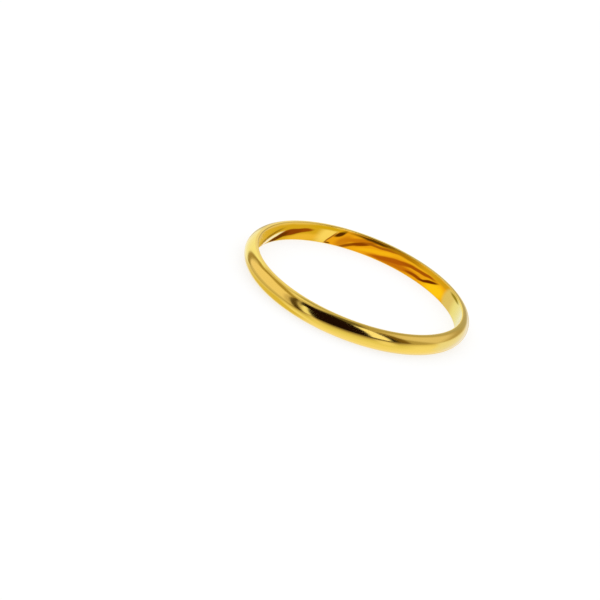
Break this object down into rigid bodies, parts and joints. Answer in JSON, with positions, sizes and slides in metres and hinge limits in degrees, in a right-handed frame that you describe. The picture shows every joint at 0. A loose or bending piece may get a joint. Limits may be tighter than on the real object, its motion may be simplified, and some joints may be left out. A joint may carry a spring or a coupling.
{
  "type": "plain finger ring",
  "caption": "Plain half-round finger ring in polished yellow gold: flat inside, domed outside, with narrow flat side faces.",
  "frame": {"origin": "centre of the finger hole, on the plane that the ring lies on", "axes": "+Z along the axis of the finger hole, up from the resting side face; X and Y are alike"},
  "size_m": [0.019, 0.019, 0.0017],
  "materials": {
    "polished_gold": "yellow gold, polished to a mirror outside, with fine polishing marks and a slightly softer bore"
  },
  "bodies": {
    "root": {"ring_band": "polished_gold"}
  },
  "joints": []
}
